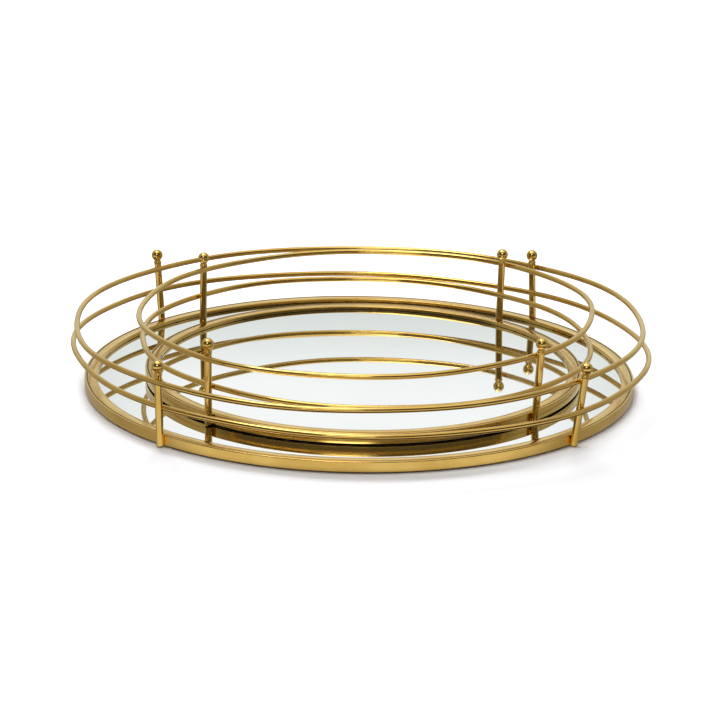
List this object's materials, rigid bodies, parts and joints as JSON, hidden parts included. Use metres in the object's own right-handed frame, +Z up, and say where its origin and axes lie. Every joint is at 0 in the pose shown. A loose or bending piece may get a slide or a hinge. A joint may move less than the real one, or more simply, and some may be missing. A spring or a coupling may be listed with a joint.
{
  "type": "nested mirrored vanity trays",
  "caption": "Round mirrored vanity tray with a woven gold wire gallery and ball-topped posts, nested with a smaller matching tray that lifts off.",
  "frame": {"origin": "middle of the underside of the large tray, on the surface it stands on", "axes": "+Z up, -Y towards the front, +X to the right"},
  "size_m": [0.366, 0.3609, 0.0602],
  "materials": {
    "gold_metal": "polished gold plate",
    "mirror_glass": "silvered float glass",
    "backing_board": "pressed hardboard",
    "base_felt": "black felt"
  },
  "bodies": {
    "large_tray": {"large_hoop": "gold_metal", "large_lip": "gold_metal", "large_mirror": "mirror_glass", "large_board": "backing_board", "large_felt": "base_felt", "large_lower_rail": "gold_metal", "large_upper_rail": "gold_metal", "large_post_back_right": "gold_metal", "large_post_back_left": "gold_metal", "large_post_front_left": "gold_metal", "large_post_front_right": "gold_metal", "large_finial_back_right": "gold_metal", "large_finial_back_left": "gold_metal", "large_finial_front_left": "gold_metal", "large_finial_front_right": "gold_metal"},
    "small_tray": {"small_hoop": "gold_metal", "small_lip": "gold_metal", "small_mirror": "mirror_glass", "small_board": "backing_board", "small_felt": "base_felt", "small_lower_rail": "gold_metal", "small_upper_rail": "gold_metal", "small_post_back_right": "gold_metal", "small_post_back_left": "gold_metal", "small_post_front_left": "gold_metal", "small_post_front_right": "gold_metal", "small_finial_back_right": "gold_metal", "small_finial_back_left": "gold_metal", "small_finial_front_left": "gold_metal", "small_finial_front_right": "gold_metal"}
  },
  "joints": [
    {"name": "small_tray_lift", "type": "slide", "parent": "large_tray", "child": "small_tray", "axis": [0, 0, 1], "range_m": [0, 0.08]}
  ]
}
